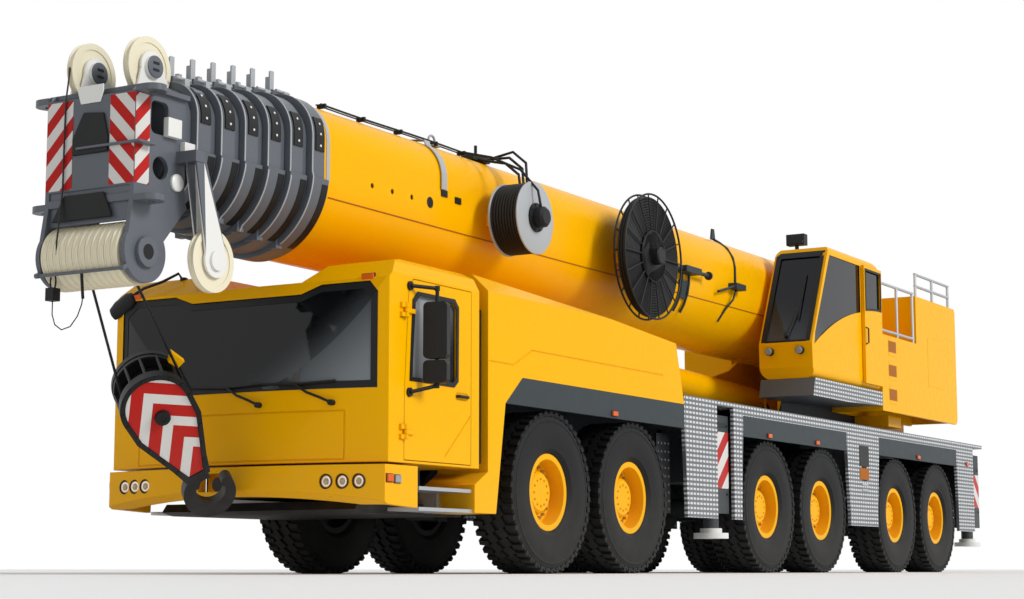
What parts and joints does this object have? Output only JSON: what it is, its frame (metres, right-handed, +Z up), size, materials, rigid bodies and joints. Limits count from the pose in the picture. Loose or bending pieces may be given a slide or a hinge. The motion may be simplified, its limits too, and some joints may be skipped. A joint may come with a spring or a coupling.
{
  "type": "mobile crane",
  "caption": "All-terrain mobile crane in road position: telescopic boom on a slewing platform, crane cab, driver's cab, outriggers, steered wheels and a stowed hook block.",
  "frame": {"origin": "on the floor, under the middle of the overall length and width", "axes": "+X forward along the boom, +Y to the left, +Z up"},
  "size_m": [17.775, 3.42, 4.2399],
  "materials": {
    "yellow_paint": "gloss yellow paint",
    "dark_paint": "satin dark grey paint",
    "grey_paint": "satin mid grey paint",
    "tyre": "matte black rubber",
    "chequer_plate": "bright chequer plate",
    "steel": "ground steel",
    "glass": "tinted",
    "black_plastic": "matte black",
    "seat_cloth": "woven dark cloth",
    "nylon": "cream cast nylon",
    "black_steel": "black paint"
  },
  "bodies": {
    "carrier": {"chassis_frame": "dark_paint", "axle_beams": "dark_paint", "engine_block": "dark_paint", "cab_shell": "yellow_paint", "cab_glass": "glass", "cab_interior": "seat_cloth", "front_bumper": "yellow_paint", "engine_hood": "yellow_paint", "mudguards": "dark_paint", "side_skirts": "chequer_plate"},
    "knuckle_1_left": {"knuckle_1_left": "dark_paint"},
    "knuckle_1_right": {"knuckle_1_right": "dark_paint"},
    "knuckle_2_left": {"knuckle_2_left": "dark_paint"},
    "knuckle_2_right": {"knuckle_2_right": "dark_paint"},
    "knuckle_5_left": {"knuckle_5_left": "dark_paint"},
    "knuckle_5_right": {"knuckle_5_right": "dark_paint"},
    "knuckle_6_left": {"knuckle_6_left": "dark_paint"},
    "knuckle_6_right": {"knuckle_6_right": "dark_paint"},
    "wheel_1_left": {"wheel_1_left": "tyre"},
    "wheel_1_right": {"wheel_1_right": "tyre"},
    "wheel_2_left": {"wheel_2_left": "tyre"},
    "wheel_2_right": {"wheel_2_right": "tyre"},
    "wheel_3_left": {"wheel_3_left": "tyre"},
    "wheel_3_right": {"wheel_3_right": "tyre"},
    "wheel_4_left": {"wheel_4_left": "tyre"},
    "wheel_4_right": {"wheel_4_right": "tyre"},
    "wheel_5_left": {"wheel_5_left": "tyre"},
    "wheel_5_right": {"wheel_5_right": "tyre"},
    "wheel_6_left": {"wheel_6_left": "tyre"},
    "wheel_6_right": {"wheel_6_right": "tyre"},
    "cab_door_left": {"cab_door_left": "yellow_paint", "mirror_left": "black_plastic"},
    "cab_door_right": {"cab_door_right": "yellow_paint", "mirror_right": "black_plastic"},
    "leg_beam_front_left": {"leg_beam_front_left": "yellow_paint"},
    "leg_jack_front_left": {"leg_jack_front_left": "steel"},
    "leg_beam_front_right": {"leg_beam_front_right": "yellow_paint"},
    "leg_jack_front_right": {"leg_jack_front_right": "steel"},
    "leg_beam_rear_left": {"leg_beam_rear_left": "yellow_paint"},
    "leg_jack_rear_left": {"leg_jack_rear_left": "steel"},
    "leg_beam_rear_right": {"leg_beam_rear_right": "yellow_paint"},
    "leg_jack_rear_right": {"leg_jack_rear_right": "steel"},
    "superstructure": {"slew_platform": "yellow_paint", "rear_housing": "yellow_paint", "crane_cab_shell": "yellow_paint", "crane_cab_glass": "glass", "crane_cab_interior": "seat_cloth"},
    "crane_cab_door": {"crane_cab_door": "yellow_paint"},
    "boom": {"boom_base": "yellow_paint", "hose_reels": "black_steel"},
    "lift_barrel": {"lift_barrel": "yellow_paint"},
    "lift_rod": {"lift_rod": "steel"},
    "boom_section_1": {"boom_section_1": "grey_paint"},
    "boom_section_2": {"boom_section_2": "grey_paint"},
    "boom_section_3": {"boom_section_3": "grey_paint"},
    "boom_section_4": {"boom_section_4": "grey_paint"},
    "boom_section_5": {"boom_section_5": "grey_paint"},
    "boom_section_6": {"boom_section_6": "grey_paint", "head_sheaves": "nylon"},
    "hook_block": {"hook_block": "black_steel"}
  },
  "joints": [
    {"name": "steer_1_left", "type": "hinge", "parent": "carrier", "child": "knuckle_1_left", "pos_m": [4.0625, 1.0025, 0.745], "axis": [0, 0, 1], "range_deg": [-30, 30]},
    {"name": "steer_1_right", "type": "hinge", "parent": "carrier", "child": "knuckle_1_right", "pos_m": [4.0625, -1.0025, 0.745], "axis": [0, 0, 1], "range_deg": [-30, 30]},
    {"name": "steer_2_left", "type": "hinge", "parent": "carrier", "child": "knuckle_2_left", "pos_m": [2.4125, 1.0025, 0.745], "axis": [0, 0, 1], "range_deg": [-24.6, 24.6]},
    {"name": "steer_2_right", "type": "hinge", "parent": "carrier", "child": "knuckle_2_right", "pos_m": [2.4125, -1.0025, 0.745], "axis": [0, 0, 1], "range_deg": [-24.6, 24.6]},
    {"name": "steer_5_left", "type": "hinge", "parent": "carrier", "child": "knuckle_5_left", "pos_m": [-5.2075, 1.0025, 0.745], "axis": [0, 0, 1], "range_deg": [-18, 18]},
    {"name": "steer_5_right", "type": "hinge", "parent": "carrier", "child": "knuckle_5_right", "pos_m": [-5.2075, -1.0025, 0.745], "axis": [0, 0, 1], "range_deg": [-18, 18]},
    {"name": "steer_6_left", "type": "hinge", "parent": "carrier", "child": "knuckle_6_left", "pos_m": [-6.8575, 1.0025, 0.745], "axis": [0, 0, 1], "range_deg": [-23.4, 23.4]},
    {"name": "steer_6_right", "type": "hinge", "parent": "carrier", "child": "knuckle_6_right", "pos_m": [-6.8575, -1.0025, 0.745], "axis": [0, 0, 1], "range_deg": [-23.4, 23.4]},
    {"name": "spin_1_left", "type": "hinge", "parent": "knuckle_1_left", "child": "wheel_1_left", "pos_m": [4.0625, 1.1975, 0.745], "axis": [0, 1, 0], "continuous": true},
    {"name": "spin_1_right", "type": "hinge", "parent": "knuckle_1_right", "child": "wheel_1_right", "pos_m": [4.0625, -1.1975, 0.745], "axis": [0, 1, 0], "continuous": true},
    {"name": "spin_2_left", "type": "hinge", "parent": "knuckle_2_left", "child": "wheel_2_left", "pos_m": [2.4125, 1.1975, 0.745], "axis": [0, 1, 0], "continuous": true},
    {"name": "spin_2_right", "type": "hinge", "parent": "knuckle_2_right", "child": "wheel_2_right", "pos_m": [2.4125, -1.1975, 0.745], "axis": [0, 1, 0], "continuous": true},
    {"name": "spin_3_left", "type": "hinge", "parent": "carrier", "child": "wheel_3_left", "pos_m": [-0.9675, 1.1975, 0.745], "axis": [0, 1, 0], "continuous": true},
    {"name": "spin_3_right", "type": "hinge", "parent": "carrier", "child": "wheel_3_right", "pos_m": [-0.9675, -1.1975, 0.745], "axis": [0, 1, 0], "continuous": true},
    {"name": "spin_4_left", "type": "hinge", "parent": "carrier", "child": "wheel_4_left", "pos_m": [-2.6175, 1.1975, 0.745], "axis": [0, 1, 0], "continuous": true},
    {"name": "spin_4_right", "type": "hinge", "parent": "carrier", "child": "wheel_4_right", "pos_m": [-2.6175, -1.1975, 0.745], "axis": [0, 1, 0], "continuous": true},
    {"name": "spin_5_left", "type": "hinge", "parent": "knuckle_5_left", "child": "wheel_5_left", "pos_m": [-5.2075, 1.1975, 0.745], "axis": [0, 1, 0], "continuous": true},
    {"name": "spin_5_right", "type": "hinge", "parent": "knuckle_5_right", "child": "wheel_5_right", "pos_m": [-5.2075, -1.1975, 0.745], "axis": [0, 1, 0], "continuous": true},
    {"name": "spin_6_left", "type": "hinge", "parent": "knuckle_6_left", "child": "wheel_6_left", "pos_m": [-6.8575, 1.1975, 0.745], "axis": [0, 1, 0], "continuous": true},
    {"name": "spin_6_right", "type": "hinge", "parent": "knuckle_6_right", "child": "wheel_6_right", "pos_m": [-6.8575, -1.1975, 0.745], "axis": [0, 1, 0], "continuous": true},
    {"name": "door_left", "type": "hinge", "parent": "carrier", "child": "cab_door_left", "pos_m": [6.5825, 1.472, 1.65], "axis": [0, 0, -1], "range_deg": [0, 70]},
    {"name": "door_right", "type": "hinge", "parent": "carrier", "child": "cab_door_right", "pos_m": [6.5825, -1.472, 1.65], "axis": [0, 0, 1], "range_deg": [0, 70]},
    {"name": "beam_front_left", "type": "slide", "parent": "carrier", "child": "leg_beam_front_left", "axis": [0, 1, 0], "range_m": [0, 1.75]},
    {"name": "jack_front_left", "type": "slide", "parent": "leg_beam_front_left", "child": "leg_jack_front_left", "axis": [0, 0, -1], "range_m": [0, 0.6]},
    {"name": "beam_front_right", "type": "slide", "parent": "carrier", "child": "leg_beam_front_right", "axis": [0, -1, 0], "range_m": [0, 1.75]},
    {"name": "jack_front_right", "type": "slide", "parent": "leg_beam_front_right", "child": "leg_jack_front_right", "axis": [0, 0, -1], "range_m": [0, 0.6]},
    {"name": "beam_rear_left", "type": "slide", "parent": "carrier", "child": "leg_beam_rear_left", "axis": [0, 1, 0], "range_m": [0, 1.75]},
    {"name": "jack_rear_left", "type": "slide", "parent": "leg_beam_rear_left", "child": "leg_jack_rear_left", "axis": [0, 0, -1], "range_m": [0, 0.6]},
    {"name": "beam_rear_right", "type": "slide", "parent": "carrier", "child": "leg_beam_rear_right", "axis": [0, -1, 0], "range_m": [0, 1.75]},
    {"name": "jack_rear_right", "type": "slide", "parent": "leg_beam_rear_right", "child": "leg_jack_rear_right", "axis": [0, 0, -1], "range_m": [0, 0.6]},
    {"name": "slew", "type": "hinge", "parent": "carrier", "child": "superstructure", "pos_m": [-3.9125, 0, 1.9], "axis": [0, 0, 1], "continuous": true},
    {"name": "crane_door", "type": "slide", "parent": "superstructure", "child": "crane_cab_door", "axis": [-1, 0, 0], "range_m": [0, 0.6]},
    {"name": "luff", "type": "hinge", "parent": "superstructure", "child": "boom", "pos_m": [-6.4125, 0, 3.25], "axis": [0, -1, 0], "range_deg": [0, 80]},
    {"name": "barrel_swing", "type": "hinge", "parent": "superstructure", "child": "lift_barrel", "pos_m": [-3.9125, 0, 2.2], "axis": [0, -1, 0], "range_deg": [0, 91.1]},
    {"name": "rod_slide", "type": "slide", "parent": "lift_barrel", "child": "lift_rod", "axis": [0.9994, 0, 0.0333], "range_m": [0, 3.297]},
    {"name": "extend_1", "type": "slide", "parent": "boom", "child": "boom_section_1", "axis": [1, 0, 0], "range_m": [0, 10.7]},
    {"name": "extend_2", "type": "slide", "parent": "boom_section_1", "child": "boom_section_2", "axis": [1, 0, 0], "range_m": [0, 10.7]},
    {"name": "extend_3", "type": "slide", "parent": "boom_section_2", "child": "boom_section_3", "axis": [1, 0, 0], "range_m": [0, 10.7]},
    {"name": "extend_4", "type": "slide", "parent": "boom_section_3", "child": "boom_section_4", "axis": [1, 0, 0], "range_m": [0, 10.7]},
    {"name": "extend_5", "type": "slide", "parent": "boom_section_4", "child": "boom_section_5", "axis": [1, 0, 0], "range_m": [0, 10.7]},
    {"name": "extend_6", "type": "slide", "parent": "boom_section_5", "child": "boom_section_6", "axis": [1, 0, 0], "range_m": [0, 10.7]},
    {"name": "hook_swing", "type": "hinge", "parent": "boom_section_6", "child": "hook_block", "pos_m": [8.6375, 0, 2.43], "axis": [0, 1, 0], "range_deg": [0, 44]}
  ],
  "couplings": [
    {"joint": "steer_1_right", "follows": "steer_1_left", "ratio": 1},
    {"joint": "steer_2_left", "follows": "steer_1_left", "ratio": 0.82},
    {"joint": "steer_2_right", "follows": "steer_1_left", "ratio": 0.82},
    {"joint": "steer_5_left", "follows": "steer_1_left", "ratio": -0.6},
    {"joint": "steer_5_right", "follows": "steer_1_left", "ratio": -0.6},
    {"joint": "steer_6_left", "follows": "steer_1_left", "ratio": -0.78},
    {"joint": "steer_6_right", "follows": "steer_1_left", "ratio": -0.78},
    {"joint": "barrel_swing", "follows": "luff", "ratio": 1.1377},
    {"joint": "rod_slide", "follows": "luff", "m_per_rad": 2.3599},
    {"joint": "hook_swing", "follows": "luff", "ratio": 0.55}
  ]
}
